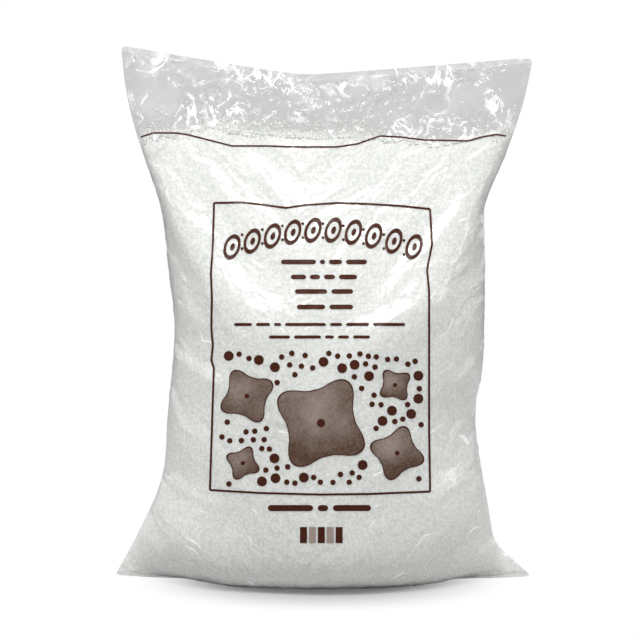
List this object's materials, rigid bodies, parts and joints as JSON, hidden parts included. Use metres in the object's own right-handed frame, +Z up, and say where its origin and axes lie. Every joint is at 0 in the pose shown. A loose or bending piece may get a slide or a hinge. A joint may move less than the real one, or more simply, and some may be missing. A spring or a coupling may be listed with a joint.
{
  "type": "bag of expanded polystyrene beads",
  "caption": "Upright clear plastic bag, welded at its top and bottom and filled with white polystyrene beads, with flared clear head and pointed bottom corners.",
  "frame": {"origin": "middle of the bag's footprint, at floor level", "axes": "+Z up, the printed front faces -Y, +X to the right as seen from the front"},
  "size_m": [0.558, 0.2598, 0.717],
  "materials": {
    "film": "clear glossy polyethylene film, crumpled, with a flexographic print in dark brown on the front",
    "beads": "matt white expanded polystyrene beads, 3 to 5 mm"
  },
  "bodies": {
    "root": {"bag_film": "film", "bead_fill": "beads", "loose_bead_01": "beads", "loose_bead_02": "beads", "loose_bead_03": "beads", "loose_bead_04": "beads", "loose_bead_05": "beads", "loose_bead_06": "beads", "loose_bead_07": "beads", "loose_bead_08": "beads", "loose_bead_09": "beads", "loose_bead_10": "beads", "loose_bead_11": "beads", "loose_bead_12": "beads", "loose_bead_13": "beads", "loose_bead_14": "beads", "loose_bead_15": "beads", "loose_bead_16": "beads", "loose_bead_17": "beads", "loose_bead_18": "beads", "loose_bead_19": "beads", "loose_bead_20": "beads", "loose_bead_21": "beads", "loose_bead_22": "beads", "loose_bead_23": "beads", "loose_bead_24": "beads", "loose_bead_25": "beads", "loose_bead_26": "beads", "loose_bead_27": "beads", "loose_bead_28": "beads", "loose_bead_29": "beads", "loose_bead_30": "beads", "loose_bead_31": "beads", "loose_bead_32": "beads", "loose_bead_33": "beads", "loose_bead_34": "beads", "loose_bead_35": "beads", "loose_bead_36": "beads"}
  },
  "joints": []
}
